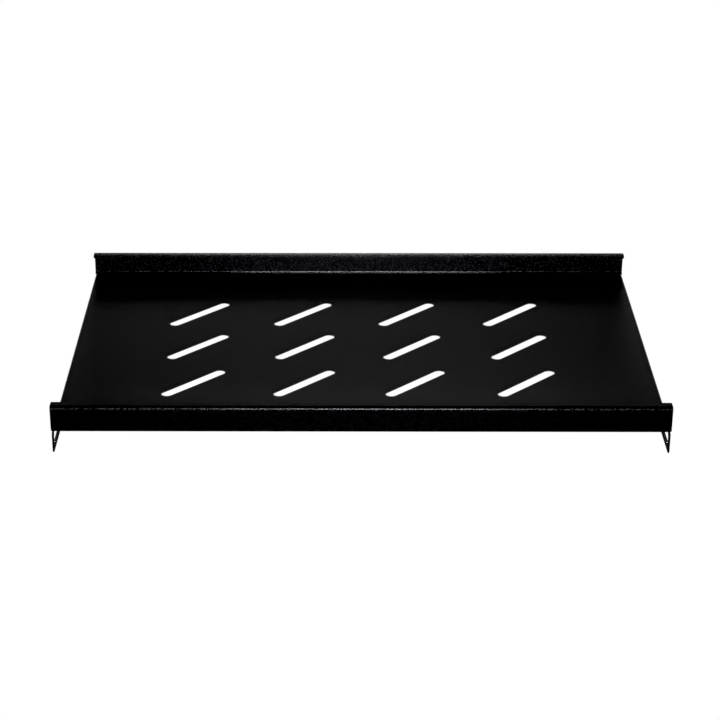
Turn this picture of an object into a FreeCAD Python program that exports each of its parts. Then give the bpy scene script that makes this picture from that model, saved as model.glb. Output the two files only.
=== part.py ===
import FreeCAD, Part
import os
import Sketcher

# Rack shelf folded from one steel sheet, in millimetres.
# X runs across the rack, Y runs from the front lip to the rear wall, Z is up.
# The origin lies under the middle of the shelf, level with the lower edges of its side flanges.

vec = FreeCAD.Vector
doc = FreeCAD.newDocument("rack_shelf")
os.makedirs("parts", exist_ok=True)

# Driving dimensions
sizes = {
    "sheet_thickness": 1.2,
    "inner_bend_radius": 1.0,
    "corner_radius": 1.0,
    # front lip as wide as the opening of the rack, with an ear past each side of the panel
    "overall_width": 450.0,
    "lip_height": 20.0,
    "ear_depth": 8.0,
    # flat panel from the lip's face to the rear wall, its sides a step back from the ends of the lip
    "panel_depth": 250.0,
    "side_step": 6.4,
    # rear wall that stops what stands on the shelf, and the fold along its top
    "wall_height": 15.0,
    "wall_overhang": 0.4,
    "return_depth": 6.0,
    "return_overhang": 1.4,
    "return_bend_radius": 0.3,
    # side folds that drop to a ledge, step outwards and go down again as the flanges
    "relief_gap": 1.0,
    "joggle_drop": 20.5,
    "flange_height": 18.5,
    "flange_front_gap": 2.5,
    "flange_rear_gap": 3.5,
    "flange_corner_radius": 2.0,
    # long holes in the side flanges for the screws of the rack
    "rack_slot_length": 30.0,
    "rack_slot_width": 9.0,
    "rack_slot_drop": 8.5,
    "rack_slot_inset": 4.0,
    # slanted vent slots, rows counted from the front
    "vent_length": 60.5,
    "vent_width": 9.0,
    "vent_angle": 45.0,
    "vent_columns": 4,
    "vent_pitch": 82.0,
    "vent_front_row": 40.7,
    "vent_middle_row": 104.2,
    "vent_rear_row": 165.3,
    "vent_front_shift": -0.4,
    "vent_middle_shift": -1.0,
    "vent_rear_shift": -3.5,
}

# Sizes that follow from the driving ones
derived = {
    "outer_bend_radius": "=inner_bend_radius + sheet_thickness",
    "return_outer_radius": "=return_bend_radius + sheet_thickness",
    "panel_side": "=overall_width / 2 - side_step",
    "overall_depth": "=panel_depth + return_depth",
    "panel_height": "=flange_height + joggle_drop",
    "panel_underside": "=panel_height - sheet_thickness",
    "panel_edge": "=panel_side - outer_bend_radius",
    "wall_top": "=panel_height + wall_height",
    "wall_fold_start": "=wall_top - return_outer_radius",
    "ledge_fold_start": "=flange_height - outer_bend_radius",
    "flange_face": "=overall_width / 2",
    "fold_front": "=ear_depth + relief_gap",
    "flange_rear": "=panel_depth - flange_rear_gap",
    "wall_start": "=panel_depth - outer_bend_radius",
    "vent_half_run": "=(vent_length - vent_width) / 2",
}

sheet = doc.addObject("Spreadsheet::Sheet", "size")
for row, (alias, value) in enumerate(list(sizes.items()) + list(derived.items()), start=1):
    sheet.set(f"A{row}", alias)
    sheet.set(f"B{row}", str(value))
    sheet.setAlias(f"B{row}", alias)
doc.recompute()

shelf = doc.addObject("PartDesign::Body", "shelf_tray")
shelf.Label = "shelf_tray"
# Inside the body, Y starts at the face of the front lip
shelf.setExpression("Placement.Base.y", "-size.overall_depth / 2")


def value_of(formula):
    result = sheet.evalExpression(formula)
    return float(getattr(result, "Value", result))


def origin_plane(role):
    return next(item for item in shelf.Origin.OriginFeatures if item.Role == role)


def new_sketch(name, role, lift="0"):
    # A sketch on one of the body's own planes, moved along the plane's normal by the lift
    sketch = shelf.newObject("Sketcher::SketchObject", name)
    sketch.AttachmentSupport = [(origin_plane(role), "")]
    sketch.MapMode = "FlatFace"
    sketch.setExpression("AttachmentOffset.Base.z", lift)
    return sketch


def drive(sketch, constraint, formula):
    # Add a sized constraint and bind it to a formula of the spreadsheet
    index = sketch.addConstraint(constraint)
    sketch.setExpression(f"Constraints[{index}]", formula)


def draw_stepped_outline(sketch, runs):
    # A closed outline of level and upright runs in turn.
    # Each run gives its direction, its distance from the sketch origin,
    # and the radius of the corner at its end, or None for a sharp one.
    count = len(runs)
    places = [value_of(place) for _, place, _ in runs]
    levels = [direction == "level" for direction, _, _ in runs]
    corners = []
    for i in range(count):
        here, following = places[i], places[(i + 1) % count]
        corners.append(vec(following, here, 0) if levels[i] else vec(here, following, 0))
    radii = [0.0 if radius is None else value_of(radius) for _, _, radius in runs]
    steps = [(corners[i] - corners[i - 1]).normalize() for i in range(count)]

    lines = []
    for i in range(count):
        start = corners[i - 1] + steps[i] * radii[i - 1]
        end = corners[i] - steps[i] * radii[i]
        lines.append(sketch.addGeometry(Part.LineSegment(start, end)))
        direction = "Horizontal" if levels[i] else "Vertical"
        sketch.addConstraint(Sketcher.Constraint(direction, lines[i]))

    for i in range(count):
        after = (i + 1) % count
        if runs[i][2] is None:
            sketch.addConstraint(Sketcher.Constraint("Coincident", lines[i], 2, lines[after], 1))
            continue
        centre = corners[i] - steps[i] * radii[i] + steps[after] * radii[i]
        middle = centre + (steps[i] - steps[after]).normalize() * radii[i]
        start = corners[i] - steps[i] * radii[i]
        end = corners[i] + steps[after] * radii[i]
        arc = sketch.addGeometry(Part.Arc(start, middle, end))
        # An arc is stored anticlockwise, so a right turn meets its end point first
        left_turn = steps[i].cross(steps[after]).z > 0
        first, last = (1, 2) if left_turn else (2, 1)
        sketch.addConstraint(Sketcher.Constraint("Tangent", lines[i], 2, arc, first))
        sketch.addConstraint(Sketcher.Constraint("Tangent", arc, last, lines[after], 1))
        drive(sketch, Sketcher.Constraint("Radius", arc, radii[i]), runs[i][2])

    for i, (_, place, _) in enumerate(runs):
        if place == "0":
            axis = -1 if levels[i] else -2
            sketch.addConstraint(Sketcher.Constraint("PointOnObject", lines[i], 1, axis))
        else:
            distance = "DistanceY" if levels[i] else "DistanceX"
            drive(sketch, Sketcher.Constraint(distance, -1, 1, lines[i], 1, places[i]), place)


def draw_long_hole(sketch, centres, radius):
    # A hole with round ends about two centres, each given by its two formulas
    (x1, y1), (x2, y2) = [(value_of(across), value_of(along)) for across, along in centres]
    start, end = vec(x1, y1, 0), vec(x2, y2, 0)
    run = (end - start).normalize()
    side = vec(-run.y, run.x, 0)
    reach = value_of(radius)
    first = sketch.addGeometry(Part.LineSegment(start - side * reach, end - side * reach))
    round_end = sketch.addGeometry(Part.Arc(end - side * reach, end + run * reach, end + side * reach))
    second = sketch.addGeometry(Part.LineSegment(end + side * reach, start + side * reach))
    round_start = sketch.addGeometry(Part.Arc(start + side * reach, start - run * reach, start - side * reach))
    loop = [first, round_end, second, round_start]
    for here, following in zip(loop, loop[1:] + loop[:1]):
        sketch.addConstraint(Sketcher.Constraint("Tangent", here, 2, following, 1))
    sketch.addConstraint(Sketcher.Constraint("Equal", round_end, round_start))
    drive(sketch, Sketcher.Constraint("Radius", round_end, reach), radius)
    for arc, (across, along) in ((round_start, centres[0]), (round_end, centres[1])):
        drive(sketch, Sketcher.Constraint("DistanceX", -1, 1, arc, 3, value_of(across)), across)
        drive(sketch, Sketcher.Constraint("DistanceY", -1, 1, arc, 3, value_of(along)), along)


def pad(name, sketch, length, both_ways=False, backwards=False):
    feature = shelf.newObject("PartDesign::Pad", name)
    feature.Profile = sketch
    feature.SideType = "Symmetric" if both_ways else "One side"
    feature.Reversed = backwards
    feature.setExpression("Length", length)
    return feature


def pocket_through(name, sketch, both_ways=False):
    feature = shelf.newObject("PartDesign::Pocket", name)
    feature.Profile = sketch
    feature.Type = "ThroughAll"
    if both_ways:
        feature.SideType = "Symmetric"
    return feature


def round_corners(name, base, points, radius):
    # Round the short edges whose middles lie nearest to the given points
    middles = [edge.CenterOfMass for edge in base.Shape.Edges]
    numbers = range(len(middles))
    edges = [min(numbers, key=lambda i: (middles[i] - point).Length) + 1 for point in points]
    feature = shelf.newObject("PartDesign::Fillet", name)
    feature.Base = (base, [f"Edge{number}" for number in edges])
    feature.setExpression("Radius", radius)
    return feature


# Front lip and ears: one bend across the whole width of the rack opening
lip_sketch = new_sketch("lip_section", "YZ_Plane")
draw_stepped_outline(lip_sketch, [
    ("upright", "0", "size.outer_bend_radius"),
    ("level", "size.panel_height", None),
    ("upright", "size.ear_depth", None),
    ("level", "size.panel_underside", "size.inner_bend_radius"),
    ("upright", "size.sheet_thickness", None),
    ("level", "size.panel_height - size.lip_height", None),
])
pad("front_lip", lip_sketch, "size.overall_width", both_ways=True)

# Flat panel between the side bends
panel_sketch = new_sketch("panel_outline", "XY_Plane", "size.panel_underside")
draw_stepped_outline(panel_sketch, [
    ("upright", "-size.panel_edge", None),
    ("level", "size.wall_start", None),
    ("upright", "size.panel_edge", None),
    ("level", "size.outer_bend_radius", None),
])
pad("panel", panel_sketch, "size.sheet_thickness")

# Rear wall: bent up from the panel
wall_sketch = new_sketch("wall_section", "YZ_Plane")
draw_stepped_outline(wall_sketch, [
    ("level", "size.panel_height", "size.inner_bend_radius"),
    ("upright", "size.panel_depth", None),
    ("level", "size.wall_fold_start", None),
    ("upright", "size.panel_depth + size.sheet_thickness", "size.outer_bend_radius"),
    ("level", "size.panel_underside", None),
    ("upright", "size.wall_start", None),
])
pad("rear_wall", wall_sketch, "2 * (size.panel_side + size.wall_overhang)", both_ways=True)

# Return: the top of the wall bent back in a tighter fold, level with the panel
return_sketch = new_sketch("return_section", "YZ_Plane")
draw_stepped_outline(return_sketch, [
    ("upright", "size.panel_depth", "size.return_outer_radius"),
    ("level", "size.wall_top", None),
    ("upright", "size.overall_depth", None),
    ("level", "size.wall_top - size.sheet_thickness", "size.return_bend_radius"),
    ("upright", "size.panel_depth + size.sheet_thickness", None),
    ("level", "size.wall_fold_start - size.sheet_thickness", None),
])
pad("wall_return", return_sketch, "2 * (size.panel_side + size.return_overhang)", both_ways=True)

# Side fold: down from the panel's edge, then out to the width of the lip
fold_sketch = new_sketch("fold_section", "XZ_Plane", "-size.fold_front")
draw_stepped_outline(fold_sketch, [
    ("level", "size.panel_height", "size.outer_bend_radius"),
    ("upright", "size.panel_side", "size.inner_bend_radius"),
    ("level", "size.flange_height", "size.outer_bend_radius"),
    ("upright", "size.flange_face", None),
    ("level", "size.ledge_fold_start - size.sheet_thickness", None),
    ("upright", "size.flange_face - size.sheet_thickness", "size.inner_bend_radius"),
    ("level", "size.flange_height - size.sheet_thickness", "size.outer_bend_radius"),
    ("upright", "size.panel_side - size.sheet_thickness", "size.inner_bend_radius"),
    ("level", "size.panel_underside", None),
    ("upright", "size.panel_edge - size.sheet_thickness", None),
])
fold = pad("side_fold", fold_sketch, "size.flange_rear - size.fold_front", backwards=True)

# Side flange: the flat that meets the rack, longer than the fold at the front
flange_sketch = new_sketch("flange_section", "XZ_Plane", "-size.flange_front_gap")
draw_stepped_outline(flange_sketch, [
    ("upright", "size.flange_face - size.sheet_thickness", None),
    ("level", "size.ledge_fold_start", None),
    ("upright", "size.flange_face", None),
    ("level", "0", None),
])
flange = pad("side_flange", flange_sketch, "size.flange_rear - size.flange_front_gap", backwards=True)

other_side = shelf.newObject("PartDesign::Mirrored", "other_side")
other_side.Originals = [fold, flange]
other_side.MirrorPlane = (origin_plane("YZ_Plane"), [""])
shelf.Tip = other_side
doc.recompute()

# Long holes for the rack's screws, near both ends of each flange
rack_radius = "size.rack_slot_width / 2"
rack_run = "(size.rack_slot_length - size.rack_slot_width)"
slot_level = "size.flange_height - size.rack_slot_drop"
front_centre = f"size.flange_front_gap + size.rack_slot_inset + {rack_radius}"
rear_centre = f"size.flange_rear - size.rack_slot_inset - {rack_radius}"
for name, near, far in (
    ("front_rack_slots", front_centre, f"{front_centre} + {rack_run}"),
    ("rear_rack_slots", f"{rear_centre} - {rack_run}", rear_centre),
):
    slot_sketch = new_sketch(f"{name}_outline", "YZ_Plane")
    draw_long_hole(slot_sketch, [(near, slot_level), (far, slot_level)], rack_radius)
    pocket_through(name, slot_sketch, both_ways=True)
doc.recompute()

# Vent slots: three rows of slanted long holes, each row one hole repeated across the panel
vent_across = "size.vent_half_run * cos(size.vent_angle * 1deg)"
vent_along = "size.vent_half_run * sin(size.vent_angle * 1deg)"
first_column = "-size.vent_pitch * (size.vent_columns - 1) / 2"
for row in ("front", "middle", "rear"):
    across = f"{first_column} + size.vent_{row}_shift"
    along = f"size.vent_{row}_row"
    vent_sketch = new_sketch(f"{row}_vent_outline", "XY_Plane", "size.panel_height")
    draw_long_hole(vent_sketch, [
        (f"{across} - {vent_across}", f"{along} - {vent_along}"),
        (f"{across} + {vent_across}", f"{along} + {vent_along}"),
    ], "size.vent_width / 2")
    vent = pocket_through(f"{row}_vent", vent_sketch)
    doc.recompute()
    vents = shelf.newObject("PartDesign::LinearPattern", f"{row}_vents")
    vents.Originals = [vent]
    vents.Direction = (vent_sketch, ["H_Axis"])
    vents.setExpression("Length", "size.vent_pitch * (size.vent_columns - 1)")
    vents.setExpression("Occurrences", "size.vent_columns")
    shelf.Tip = vents
    doc.recompute()

# Corners of the lip, the ears and the return
half_sheet = value_of("size.sheet_thickness / 2")
lip_end = value_of("size.flange_face")
return_end = value_of("size.panel_side + size.return_overhang")
sheet_corners = []
for side in (-1, 1):
    sheet_corners += [
        vec(side * lip_end, half_sheet, value_of("size.panel_height - size.lip_height")),
        vec(side * lip_end, value_of("size.ear_depth"), value_of("size.panel_underside") + half_sheet),
        vec(side * return_end, value_of("size.overall_depth"), value_of("size.wall_top") - half_sheet),
    ]
corners = round_corners("rounded_corners", shelf.Tip, sheet_corners, "size.corner_radius")
doc.recompute()

# Corners of the side flanges
flange_middle = lip_end - half_sheet
flange_corners = []
for side in (-1, 1):
    flange_corners += [
        vec(side * flange_middle, value_of("size.flange_front_gap"), 0),
        vec(side * flange_middle, value_of("size.flange_front_gap"), value_of("size.ledge_fold_start")),
        vec(side * flange_middle, value_of("size.flange_rear"), 0),
    ]
shelf.Tip = round_corners("rounded_flanges", corners, flange_corners, "size.flange_corner_radius")
doc.recompute()

for item in doc.Objects:
    if "Invalid" in item.State or "Error" in item.State:
        raise RuntimeError(f"{item.Name} did not compute: {item.State}")
if shelf.Shape.isNull() or not shelf.Shape.isValid() or len(shelf.Shape.Solids) != 1:
    raise RuntimeError("the folded sheet is not one valid solid")

shelf.Shape.exportStep(f"parts/{shelf.Label}.step")
box = shelf.Shape.BoundBox
print(f"shelf_tray: {box.XLength:.2f} x {box.YLength:.2f} x {box.ZLength:.2f} mm, "
      f"volume {shelf.Shape.Volume / 1000:.2f} cm3, area {shelf.Shape.Area / 100:.1f} cm2")
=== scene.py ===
import math
import bpy
import numpy as np
from mathutils import Matrix, Vector


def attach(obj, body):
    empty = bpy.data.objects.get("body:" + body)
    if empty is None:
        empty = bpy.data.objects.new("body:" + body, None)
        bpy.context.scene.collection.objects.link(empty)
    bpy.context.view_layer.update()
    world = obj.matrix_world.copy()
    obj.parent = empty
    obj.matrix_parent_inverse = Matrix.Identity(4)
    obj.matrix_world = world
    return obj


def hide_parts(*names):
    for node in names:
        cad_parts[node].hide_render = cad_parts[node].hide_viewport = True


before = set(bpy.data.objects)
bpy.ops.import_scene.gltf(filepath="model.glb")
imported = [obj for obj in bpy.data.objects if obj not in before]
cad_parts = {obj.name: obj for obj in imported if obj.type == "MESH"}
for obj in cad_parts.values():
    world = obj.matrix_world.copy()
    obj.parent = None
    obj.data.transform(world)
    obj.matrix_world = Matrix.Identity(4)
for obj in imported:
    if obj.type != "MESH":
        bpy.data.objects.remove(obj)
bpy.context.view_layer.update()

print("frame loaded")

# the shelf is laid out in millimetres, with Y counted from the face of the lip
millimetre = 0.001
lipPlace = -128.0    # where the lip's face stands in the frame
nearMiss = 0.01      # grid lines closer than this are the same line
sameDigits = 4       # points that agree to so many digits are welded


def stepsBetween(*stops):
    # places along a line: each stop with the number of even steps that lead to it
    places = [stops[0]]
    for place, steps in stops[1:]:
        places = np.append(places, np.linspace(places[-1], place, steps + 1)[1:])
    return np.asarray(places, float)


def linesBetween(places, low, high):
    # the grid lines from low to high, both included
    return places[(places > low - nearMiss) & (places < high + nearMiss)]


def levelGrid(across, along, height):
    # a flat surface: the point at (u, v) is (across u, along v, height)
    x, y = np.meshgrid(across, along, indexing="ij")
    return np.stack([x, y, np.full_like(x, height)], axis=-1)


def arcPath(centre, radius, start, end, steps):
    # part of a circle from one angle to the other, without its first point
    turn = np.radians(np.linspace(start, end, steps + 1))[1:]
    return np.stack([centre[0] + radius * np.cos(turn), centre[1] + radius * np.sin(turn)], axis=-1)


def linePath(*points):
    # a path straight from point to point
    return np.array(points, float)


def carryAcross(profile, across):
    # a (Y, Z) profile carried along X: the point at (u, v) is (across u, profile Y v, profile Z v)
    x = np.repeat(across[:, None], len(profile), axis=1)
    yz = np.repeat(profile[None, :, :], len(across), axis=0)
    return np.concatenate([x[..., None], yz], axis=-1)


def carryAlong(profile, along):
    # an (X, Z) profile carried along Y: the point at (u, v) is (profile X u, along v, profile Z u)
    x = np.repeat(profile[:, 0][:, None], len(along), axis=1)
    z = np.repeat(profile[:, 1][:, None], len(along), axis=1)
    y = np.repeat(along[None, :], len(profile), axis=0)
    return np.stack([x, y, z], axis=-1)


def roundCorner(points, first, second, corner, inward, radius):
    # the square at a sheet corner squeezed into a quarter disc:
    # each axis is shortened by the root of one minus half the square of the other
    s = (points[..., first] - (corner[0] + inward[0] * radius)) * -inward[0] / radius
    t = (points[..., second] - (corner[1] + inward[1] * radius)) * -inward[1] / radius
    inside = (s > 0) & (t > 0)
    sNew = np.where(inside, s * np.sqrt(np.clip(1 - t * t / 2, 0, 1)), s)
    tNew = np.where(inside, t * np.sqrt(np.clip(1 - s * s / 2, 0, 1)), t)
    points[..., first] = corner[0] + inward[0] * radius * (1 - sNew)
    points[..., second] = corner[1] + inward[1] * radius * (1 - tNew)
    return points


def gridFaces(rows, columns):
    # the four corners of each face, where the grid's points are counted row by row
    first = (np.arange(rows - 1)[:, None] * columns + np.arange(columns - 1)[None, :]).ravel()
    return np.stack([first, first + columns, first + columns + 1, first + 1], axis=-1)


def rimOfCell(across, along):
    # the grid points round a cell, anticlockwise from its first corner
    low, high = np.full(len(along), across[0]), np.full(len(along), across[-1])
    near, far = np.full(len(across), along[0]), np.full(len(across), along[-1])
    x = np.concatenate([across[:-1], high[:-1], across[:0:-1], low[:0:-1]])
    y = np.concatenate([near[:-1], along[:-1], far[:-1], along[:0:-1]])
    return np.stack([x, y], axis=-1)


def longHole(count, centre, angle, hole):
    # outline of a hole with round ends, starting at the tip that the angle points to:
    # a half circle about each end of the run, joined by straight sides
    radius, endSteps = hole["width"] / 2, hole["endSteps"]
    halfRun = (hole["length"] - hole["width"]) / 2
    run = np.array([math.cos(angle), math.sin(angle)])
    side = np.array([-run[1], run[0]])
    swing = np.radians(np.linspace(-90, 90, 2 * endSteps + 1))[:, None]
    end = halfRun * run + radius * (np.cos(swing) * run + np.sin(swing) * side)
    share = np.linspace(0, 1, count // 2 - 2 * endSteps + 1)[1:-1, None]
    flank = (1 - 2 * share) * halfRun * run + radius * side
    outline = np.concatenate([end, flank, -end, -flank])
    return np.roll(outline, -endSteps, axis=0) + centre


def cellAroundHole(across, along, centre, hole):
    # surface between a cell's rim and the hole in it: the point at (u, v) lies on the straight
    # line from rim point u to outline point u, at the share v of its length
    angle = math.radians(hole["angle"])
    rim = rimOfCell(across, along)
    away = rim - centre
    heading = np.arctan2(away[:, 1], away[:, 0]) - angle
    start = np.argmax(np.cos(heading))
    rim = np.roll(rim, -start, axis=0)
    outline = longHole(len(rim), centre, angle, hole)
    share = np.linspace(0, 1, hole["rings"] + 1)[None, :, None]
    ring = rim[:, None, :] * (1 - share) + outline[:, None, :] * share
    return np.concatenate([ring, ring[:1]])    # closed round the hole


class Skin:
    # collects surfaces, each facing away from the sheet's metal, and welds them into one mesh
    def __init__(self):
        self.points, self.faces, self.count = [], [], 0

    def add(self, surface, towards, keep=None):
        # faces are turned over where the sum of their normals points against the wanted side
        rows, columns = surface.shape[:2]
        faces = gridFaces(rows, columns)
        if keep is not None:
            faces = faces[keep.ravel()]
        flat = surface.reshape(-1, 3)
        corners = flat[faces]
        normal = np.cross(corners[:, 2] - corners[:, 0], corners[:, 3] - corners[:, 1]).sum(axis=0)
        if normal @ np.asarray(towards, float) < 0:
            faces = faces[:, ::-1]
        self.points.append(flat)
        self.faces.append(faces + self.count)
        self.count += len(flat)

    def mirrored(self, surface, towards, keep=None):
        # the surface on the right and its mirror image on the left
        self.add(surface, towards, keep)
        other = surface.copy()
        other[..., 0] *= -1
        self.add(other, (-towards[0], towards[1], towards[2]), keep)

    def mesh(self, name, shape, values):
        points = np.concatenate(self.points)
        faces = np.concatenate(self.faces)
        rounded = np.round(points, sameDigits)
        where, same = np.unique(rounded, axis=0, return_index=True, return_inverse=True)[1:]
        points = points[where]
        faces = same.ravel()[faces]
        used, faces = np.unique(faces, return_inverse=True)
        faces = faces.reshape(-1, 4)
        points = shape(points[used], values)
        points[:, 1] += lipPlace
        mesh = bpy.data.meshes.new(name)
        mesh.from_pydata((points * millimetre).tolist(), [], faces.tolist())
        mesh.validate()
        mesh.update()
        return mesh


# the folded sheet; a side is a distance from the middle, a depth one from the lip's face
shelfValues = {
    "thickness": 1.2,
    "innerBend": 1.0,
    "lipSide": 225.0,
    "lipBottom": 19.0,
    "earDepth": 8.0,
    "cornerRadius": 1.0,
    "panelHeight": 39.0,
    "panelSide": 218.6,
    "panelDepth": 250.0,
    "wallSide": 219.0,
    "wallTop": 54.0,
    "returnSide": 220.0,
    "returnDepth": 6.0,        # from the wall's face
    "returnFlank": 2.7,        # the upright strip under the sharp fold, as wide as the return
    "flangeSide": 224.97,      # a hair inside the lip, which keeps its softened corners in the box
    "flangeTop": 18.5,
    "flangeFront": 2.5,
    "flangeRear": 246.5,
    "flangeCorner": 2.0,
    "edgeSoftness": 0.32,
    "edgeSteps": 2,
    "edgeAngle": 50.0,         # degrees, from which an edge is softened
    "shadingWeight": 50,
    "sag": 0.32,               # how far the panel dips behind its stiff front fold
    "sagStart": 2.5,
    "sagDeepest": 36.0,
    "sagEnd": 240.0,
    "sagSides": (150.0, 216.0),    # full up to the first, none from the second
    "bendSteps": 10,
    "cornerSteps": 4,
    "marginSteps": 8,          # from the panel's side to its first vent cell
    "lipSteps": 2,
    "returnSteps": 3,
    "flangeSteps": 6,
    "earLines": (220.0, 4.6),      # one more grid line across and one along
    "lipLine": 28.0,               # more grid lines at these heights
    "wallLines": (44.0, 48.0),
    "foldLine": 28.0,
    "vents": {
        "length": 60.0,            # half a millimetre under the punched size, for the coat on its edges
        "width": 8.5,
        "angle": 45.0,
        "columns": (-123.0, -41.0, 41.0, 123.0),
        "rows": ((40.7, -0.4), (104.2, -1.0), (165.3, -3.5)),    # depth, shift to the side
        "columnEdges": (-164.0, -82.0, 0.0, 82.0, 164.0),
        "rowEdges": (9.0, 72.45, 134.75, 197.0),
        "acrossSteps": 12,
        "alongSteps": 10,
        "endSteps": 6,
        "rings": 3,
    },
    "rackSlots": {
        "length": 30.0,
        "width": 9.0,
        "angle": 0.0,
        "level": 10.0,
        "centres": (21.5, 227.5),
        "frontCellSteps": 5,       # the front cell takes so many steps of the first row of vents
        "rearCell": 34.0,
        "rearCellSteps": 6,
        "gapSteps": 2,             # between the last row of vents and the rear cell
        "endSteps": 5,
        "rings": 2,
    },
}


def eased(share):
    # from 0 to 1 with level ends: three squares less two cubes
    share = np.clip(share, 0, 1)
    return share * share * (3 - 2 * share)


def sagged(points, sheet):
    # the panel's height at (x, y) is lowered by the sag, eased in behind the front fold,
    # eased out towards the rear wall and towards both sides
    x, y, z = points.T
    onPanel = np.abs(z - sheet["panelHeight"]) < nearMiss
    rise = eased((y - sheet["sagStart"]) / (sheet["sagDeepest"] - sheet["sagStart"]))
    fall = eased((sheet["sagEnd"] - y) / (sheet["sagEnd"] - sheet["sagDeepest"]))
    full, none = sheet["sagSides"]
    side = eased((none - np.abs(x)) / (none - full))
    points[:, 2] = z - sheet["sag"] * rise * fall * side * onPanel
    return points


def foldedSheet(name, sheet):
    vents, rackSlots = sheet["vents"], sheet["rackSlots"]
    inner = sheet["innerBend"]
    outer = inner + sheet["thickness"]
    bend, corner = sheet["bendSteps"], sheet["cornerSteps"]
    top, radius = sheet["panelHeight"], sheet["cornerRadius"]
    panelEdge = sheet["panelSide"] - outer
    wallStart = sheet["panelDepth"] - outer
    skin = Skin()

    # lines that every surface shares, so that they meet point to point
    columnEdges, rowEdges = vents["columnEdges"], vents["rowEdges"]
    panelAcross = stepsBetween(
        -panelEdge, (columnEdges[0], sheet["marginSteps"]),
        *[(edge, vents["acrossSteps"]) for edge in columnEdges[1:]],
        (panelEdge, sheet["marginSteps"]))
    earAcross = stepsBetween(
        panelEdge, (sheet["earLines"][0], 1), (sheet["lipSide"] - radius, 1), (sheet["lipSide"], corner))
    frontAlong = stepsBetween(
        outer, (sheet["earLines"][1], 1), (sheet["earDepth"] - radius, 1), (sheet["earDepth"], corner))
    flangeCorner = sheet["flangeCorner"]
    rearSlotEnd = sheet["flangeRear"] - flangeCorner
    rearSlotStart = rearSlotEnd - rackSlots["rearCell"]
    sideAlong = stepsBetween(
        rowEdges[0], *[(edge, vents["alongSteps"]) for edge in rowEdges[1:]],
        (rearSlotStart, rackSlots["gapSteps"]), (rearSlotEnd, rackSlots["rearCellSteps"]),
        (sheet["flangeRear"], corner))
    panelAlong = np.concatenate([frontAlong, sideAlong, [wallStart]])

    # panel, with the cells of the vents left open
    surface = levelGrid(panelAcross, panelAlong, top)
    middleX = (panelAcross[:-1] + panelAcross[1:]) / 2
    middleY = (panelAlong[:-1] + panelAlong[1:]) / 2
    inX = (middleX > columnEdges[0]) & (middleX < columnEdges[-1])
    inY = (middleY > rowEdges[0]) & (middleY < rowEdges[-1])
    skin.add(surface, (0, 0, 1), keep=~(inX[:, None] & inY[None, :]))

    # vents, one cell each
    for row, (place, shift) in enumerate(vents["rows"]):
        y = linesBetween(panelAlong, rowEdges[row], rowEdges[row + 1])
        for column, middle in enumerate(vents["columns"]):
            x = linesBetween(panelAcross, columnEdges[column], columnEdges[column + 1])
            ring = cellAroundHole(x, y, (middle + shift, place), vents)
            skin.add(np.concatenate([ring, np.full(ring.shape[:2] + (1,), top)], axis=-1), (0, 0, 1))

    # ears
    ear = levelGrid(earAcross, frontAlong, top)
    ear = roundCorner(ear, 0, 1, (sheet["lipSide"], sheet["earDepth"]), (-1, -1), radius)
    skin.mirrored(ear, (0, 0, 1))

    # front lip: bent down from the panel and the ears
    lipAcross = np.concatenate([-earAcross[:0:-1], panelAcross, earAcross[1:]])
    upright = stepsBetween(
        top - outer, (sheet["lipLine"], sheet["lipSteps"]),
        (sheet["lipBottom"] + radius, sheet["lipSteps"]), (sheet["lipBottom"], corner))
    profile = np.concatenate([
        linePath((outer, top)), arcPath((outer, top - outer), outer, 90, 180, bend),
        np.stack([np.zeros(len(upright) - 1), upright[1:]], axis=-1)])
    lip = carryAcross(profile, lipAcross)
    for side in (-1, 1):
        lip = roundCorner(lip, 0, 2, (side * sheet["lipSide"], sheet["lipBottom"]), (-side, 1), radius)
    skin.add(lip, (0, -1, 0.3))

    # rear wall: bent up from the panel
    wallAcross = np.concatenate([[-sheet["wallSide"]], panelAcross, [sheet["wallSide"]]])
    depth, returnStart = sheet["panelDepth"], sheet["wallTop"] - sheet["returnFlank"]
    profile = np.concatenate([
        linePath((wallStart, top), (depth - inner, top)),
        arcPath((depth - inner, top + inner), inner, -90, 0, bend),
        linePath(*[(depth, height) for height in (*sheet["wallLines"], returnStart)])])
    skin.add(carryAcross(profile, wallAcross), (0, -1, 0.3))

    # return: the wall's top bent back
    returnEnd = stepsBetween(sheet["returnSide"] - radius, (sheet["returnSide"], corner))
    returnAcross = np.concatenate([-returnEnd[::-1], panelAcross, returnEnd])
    returnRear = depth + sheet["returnDepth"]
    level = stepsBetween(depth, (returnRear - radius, sheet["returnSteps"]), (returnRear, corner))
    profile = np.concatenate([
        linePath((depth, returnStart)), np.stack([level, np.full(len(level), sheet["wallTop"])], axis=-1)])
    fold = carryAcross(profile, returnAcross)
    for side in (-1, 1):
        fold = roundCorner(fold, 0, 1, (side * sheet["returnSide"], returnRear), (-side, -1), radius)
    skin.add(fold, (0, -0.3, 1))

    # side fold: down from the panel, out along a ledge and down again
    side, face, ledge = sheet["panelSide"], sheet["flangeSide"], sheet["flangeTop"]
    profile = np.concatenate([
        linePath((panelEdge, top)), arcPath((panelEdge, top - outer), outer, 90, 0, bend),
        linePath((side, sheet["foldLine"]), (side, ledge + inner)),
        arcPath((side + inner, ledge + inner), inner, 180, 270, bend),
        linePath((face - outer, ledge)), arcPath((face - outer, ledge - outer), outer, 90, 0, bend)])
    skin.mirrored(carryAlong(profile, sideAlong), (1, 0, 1))

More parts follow.
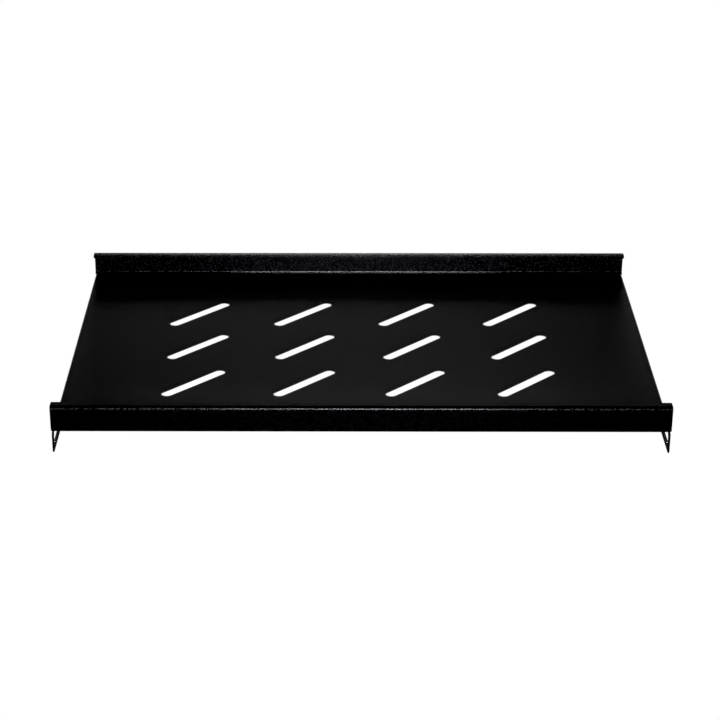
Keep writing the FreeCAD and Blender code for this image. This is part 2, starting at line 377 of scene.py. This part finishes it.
    # side flange, with the cells of its long holes left open
    flangeTop = ledge - outer
    slotFront = stepsBetween(sheet["flangeFront"], (sheet["flangeFront"] + flangeCorner, corner))
    flangeAlong = np.concatenate([slotFront, sideAlong])
    flangeUp = stepsBetween(
        0.0, (flangeCorner, corner), (flangeTop - flangeCorner, sheet["flangeSteps"]), (flangeTop, corner))
    y, z = np.meshgrid(flangeAlong, flangeUp, indexing="ij")
    flange = np.stack([np.full_like(y, face), y, z], axis=-1)
    flange = roundCorner(flange, 1, 2, (sheet["flangeFront"], 0.0), (1, 1), flangeCorner)
    flange = roundCorner(flange, 1, 2, (sheet["flangeFront"], flangeTop), (1, -1), flangeCorner)
    flange = roundCorner(flange, 1, 2, (sheet["flangeRear"], 0.0), (-1, 1), flangeCorner)
    middleY = (flangeAlong[:-1] + flangeAlong[1:]) / 2
    middleZ = (flangeUp[:-1] + flangeUp[1:]) / 2
    frontCell = (slotFront[-1], sideAlong[rackSlots["frontCellSteps"]])
    rearCell = (rearSlotStart, rearSlotEnd)
    opened = np.zeros((len(middleY), len(middleZ)), bool)
    cellZ = linesBetween(flangeUp, flangeCorner, flangeTop)
    for (start, end), middle in zip((frontCell, rearCell), rackSlots["centres"]):
        opened |= ((middleY > start) & (middleY < end))[:, None] & (middleZ > flangeCorner)[None, :]
        cellY = linesBetween(flangeAlong, start, end)
        ring = cellAroundHole(cellY, cellZ, (middle, rackSlots["level"]), rackSlots)
        skin.mirrored(np.concatenate([np.full(ring.shape[:2] + (1,), face), ring], axis=-1), (1, 0, 0))
    skin.mirrored(flange, (1, 0, 0), keep=~opened)

    mesh = skin.mesh(name, sagged, sheet)
    piece = bpy.data.objects.new(name, mesh)
    bpy.context.scene.collection.objects.link(piece)
    mesh.shade_smooth()

    solid = piece.modifiers.new("thickness", "SOLIDIFY")
    solid.thickness = sheet["thickness"] * millimetre
    solid.offset = -1.0    # the metal lies behind the surfaces
    solid.use_even_offset = True
    soft = piece.modifiers.new("softEdges", "BEVEL")
    soft.width = sheet["edgeSoftness"] * millimetre
    soft.segments = sheet["edgeSteps"]
    soft.limit_method = "ANGLE"
    soft.angle_limit = math.radians(sheet["edgeAngle"])
    soft.use_clamp_overlap = False
    weighted = piece.modifiers.new("evenShading", "WEIGHTED_NORMAL")
    weighted.weight = sheet["shadingWeight"]
    weighted.keep_sharp = False
    return piece


shelf = foldedSheet("foldedShelf", shelfValues)
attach(shelf, "root")
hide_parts("shelf_tray")
print("sheet folded")

# the coat: black powder paint, cured to a fine uneven skin
coatValues = {
    "colour": (0.0022, 0.0020, 0.0024),
    "speckScale": 800.0,               # specks per metre
    "speckDetail": 1.0,
    "speckRange": (0.32, 0.68),        # part of the noise that goes from smoothest to dullest
    "roughness": (0.185, 0.265),       # smoothest and dullest specks
    "foldSpeckRange": (0.40, 0.60),    # the same two where the coat is at its most uneven
    "foldRoughness": (0.095, 0.365),
    "foldLevels": (                    # middle, half height, unevenness
        (0.0373, 0.0012, 1.0),         # front bend
        (0.0397, 0.0004, 1.0),         # crease in front of the wall
        (0.0470, 0.0071, 0.18),        # stop wall
    ),
    "grainScale": 520.0,               # grains per metre
    "grainDetail": 2.0,
    "grainHeight": 0.00006,
    "peelScale": 260.0,                # ripples per metre
    "peelDetail": 1.0,
    "peelHeight": 0.00003,
}


def powderCoat(name, values):
    coat = bpy.data.materials.new(name)
    coat.use_nodes = True
    nodes, links = coat.node_tree.nodes, coat.node_tree.links
    shader = nodes["Principled BSDF"]
    shader.inputs["Base Color"].default_value = (*values["colour"], 1)
    place = nodes.new("ShaderNodeTexCoord")

    def noise(scale, detail):
        texture = nodes.new("ShaderNodeTexNoise")
        texture.inputs["Scale"].default_value = scale
        texture.inputs["Detail"].default_value = detail
        links.new(place.outputs["Object"], texture.inputs["Vector"])
        return texture.outputs["Fac"]

    def bump(height, distance, under=None):
        node = nodes.new("ShaderNodeBump")
        node.inputs["Strength"].default_value = 1.0
        node.inputs["Distance"].default_value = distance
        links.new(height, node.inputs["Height"])
        if under:
            links.new(under, node.inputs["Normal"])
        return node.outputs["Normal"]

    def spread(factor, limits, ends):
        node = nodes.new("ShaderNodeMapRange")
        node.inputs["From Min"].default_value, node.inputs["From Max"].default_value = limits
        node.inputs["To Min"].default_value, node.inputs["To Max"].default_value = ends
        links.new(factor, node.inputs["Value"])
        return node.outputs["Result"]

    # specks are strong in the bands of the front bend and the crease, fainter on the stop wall
    # and even elsewhere: each band adds its unevenness where the height lies in it
    split = nodes.new("ShaderNodeSeparateXYZ")
    links.new(place.outputs["Object"], split.inputs["Vector"])
    uneven = None
    for level, half, share in values["foldLevels"]:
        band = nodes.new("ShaderNodeMath")
        band.operation = "COMPARE"
        band.inputs[1].default_value, band.inputs[2].default_value = level, half
        links.new(split.outputs["Z"], band.inputs[0])
        weighed = nodes.new("ShaderNodeMath")
        weighed.operation = "MULTIPLY_ADD"
        weighed.inputs[1].default_value, weighed.inputs[2].default_value = share, 0.0
        links.new(band.outputs["Value"], weighed.inputs[0])
        if uneven:
            links.new(uneven, weighed.inputs[2])
        uneven = weighed.outputs["Value"]
    specks = noise(values["speckScale"], values["speckDetail"])
    choice = nodes.new("ShaderNodeMix")    # stops at one, where two bands meet
    links.new(uneven, choice.inputs["Factor"])
    links.new(spread(specks, values["speckRange"], values["roughness"]), choice.inputs["A"])
    links.new(spread(specks, values["foldSpeckRange"], values["foldRoughness"]), choice.inputs["B"])
    links.new(choice.outputs["Result"], shader.inputs["Roughness"])

    peel = bump(noise(values["peelScale"], values["peelDetail"]), values["peelHeight"])
    grain = bump(noise(values["grainScale"], values["grainDetail"]), values["grainHeight"], peel)
    links.new(grain, shader.inputs["Normal"])
    return coat


shelf.data.materials.append(powderCoat("blackPowderCoat", coatValues))
print("coat made")

# camera, as the shelf was photographed
view = {
    "lens": 100.99,
    "sensor": 36.0,
    "sideShift": 0.0499,
    "place": (-0.01461, -1.42907, 0.69207),
    "yaw": -0.524,       # degrees, to the right
    "pitch": 25.3175,    # degrees, downwards
    "roll": 0.15,        # degrees, clockwise
    "reach": (0.05, 50.0),
}


def makeCamera(name, values):
    yaw, pitch, roll = (math.radians(values[key]) for key in ("yaw", "pitch", "roll"))
    forward = np.array([math.sin(yaw) * math.cos(pitch), math.cos(yaw) * math.cos(pitch), -math.sin(pitch)])
    right = np.array([math.cos(yaw), -math.sin(yaw), 0.0])
    down = np.cross(forward, right)
    rolledRight = math.cos(roll) * right + math.sin(roll) * down
    rolledDown = -math.sin(roll) * right + math.cos(roll) * down
    data = bpy.data.cameras.new(name)
    data.lens = values["lens"]
    data.sensor_width = values["sensor"]
    data.shift_x = values["sideShift"]
    data.clip_start, data.clip_end = values["reach"]
    camera = bpy.data.objects.new(name, data)
    bpy.context.scene.collection.objects.link(camera)
    turn = Matrix((rolledRight, -rolledDown, -forward)).transposed()
    camera.matrix_world = Matrix.Translation(Vector(values["place"])) @ turn.to_4x4()
    bpy.context.scene.camera = camera


makeCamera("camera", view)
print("camera placed")

# studio: a pale floor and backdrop that only the camera sees, and soft lights
studio = {
    "fill": 0.031,       # how bright the backdrop is for the shelf
    "floorSize": 8.0,
    "lights": {
        # place, aimed at, width, height, brightness of its surface, spread in degrees
        # three behind the shelf, for the sheen on the panel and the return
        "backHorizon": ((0.0, 3.0, 0.12), (0.0, 0.0, 0.04), 1.04, 0.16, 106.0, 180.0),
        "backLow": ((0.22, 3.0, 0.24), (0.0, 0.0, 0.04), 1.25, 0.24, 9.2, 180.0),
        "backGlow": ((-0.02, 3.0, 0.58), (0.0, 0.0, 0.04), 1.35, 0.52, 1.62, 180.0),
        # one low in front, for the front bend and the stop wall
        "frontSoftbox": ((0.012, -1.27, 0.10), (0.0, -0.128, 0.039), 0.37, 0.09, 68.0, 180.0),
        # windows and the bounce of the floor, for the sides and the back
        "leftWindow": ((-3.0, 0.0, 1.1), (0.0, 0.0, 0.0), 9.0, 2.0, 0.5, 180.0),
        "rightWindow": ((3.0, 0.0, 1.1), (0.0, 0.0, 0.0), 9.0, 2.0, 0.4, 180.0),
        "leftBounce": ((-0.80, 0.15, -0.02), (-0.80, 0.15, 1.0), 1.1, 1.3, 0.7, 180.0),
        "rightBounce": ((0.80, 0.15, -0.02), (0.80, 0.15, 1.0), 1.1, 1.3, 0.6, 180.0),
        "rearBounce": ((0.0, 0.75, -0.02), (0.0, 0.75, 1.0), 1.6, 1.1, 0.6, 180.0),
        # a narrow strip over the panel, for the crease in front of the wall
        "creaseStrip": ((0.006, 0.102, 0.069), (0.006, 0.122, 0.039), 0.23, 0.006, 1.28, 35.0),
    },
    "tints": {"frontSoftbox": (1.03, 0.985, 1.06)},
    "blackPoint": 0.0040,
}


def softLight(name, tint, place, target, width, height, brightness, spread):
    data = bpy.data.lights.new(name, "AREA")
    data.shape = "ELLIPSE"
    data.color = tint
    data.size, data.size_y = width, height
    data.spread = math.radians(spread)
    # power of an even ellipse: its brightness times pi times its area
    data.energy = brightness * math.pi * width * height * math.pi / 4
    light = bpy.data.objects.new(name, data)
    light.location = place
    light.rotation_euler = (Vector(target) - Vector(place)).to_track_quat("-Z", "Y").to_euler()
    light.visible_camera = False
    bpy.context.scene.collection.objects.link(light)


def makeStudio(values):
    world = bpy.data.worlds.new("studio")
    bpy.context.scene.world = world
    world.use_nodes = True
    nodes, links = world.node_tree.nodes, world.node_tree.links
    rays = nodes.new("ShaderNodeLightPath")
    mix = nodes.new("ShaderNodeMix")
    mix.data_type = "RGBA"
    factor, forShelf, forCamera, colour = mix.inputs[0], mix.inputs[6], mix.inputs[7], mix.outputs[2]
    forShelf.default_value = (values["fill"],) * 3 + (1,)
    forCamera.default_value = (1, 1, 1, 1)
    links.new(rays.outputs["Is Camera Ray"], factor)
    links.new(colour, nodes["Background"].inputs["Color"])
    for name, numbers in values["lights"].items():
        softLight(name, values["tints"].get(name, (1, 1, 1)), *numbers)

    # the floor glows white for the camera from above, and can be looked through from below
    half = values["floorSize"] / 2
    corners = [(-half, -half, 0), (half, -half, 0), (half, half, 0), (-half, half, 0)]
    mesh = bpy.data.meshes.new("floor")
    mesh.from_pydata(corners, [], [(0, 1, 2, 3)])
    floor = bpy.data.objects.new("floor", mesh)
    bpy.context.scene.collection.objects.link(floor)
    paper = bpy.data.materials.new("whitePaper")
    paper.use_nodes = True
    nodes, links = paper.node_tree.nodes, paper.node_tree.links
    glow = nodes.new("ShaderNodeEmission")
    clear = nodes.new("ShaderNodeBsdfTransparent")
    side = nodes.new("ShaderNodeNewGeometry")
    both = nodes.new("ShaderNodeMixShader")
    links.new(side.outputs["Backfacing"], both.inputs["Fac"])
    links.new(glow.outputs["Emission"], both.inputs[1])
    links.new(clear.outputs["BSDF"], both.inputs[2])
    links.new(both.outputs["Shader"], nodes["Material Output"].inputs["Surface"])
    nodes.remove(nodes["Principled BSDF"])
    mesh.materials.append(paper)
    floor.visible_diffuse = floor.visible_glossy = floor.visible_shadow = False


makeStudio(studio)
picture = bpy.context.scene.view_settings
picture.view_transform = "Standard"
picture.use_curve_mapping = True
picture.curve_mapping.black_level = (studio["blackPoint"],) * 3
picture.curve_mapping.update()
print("studio lit")
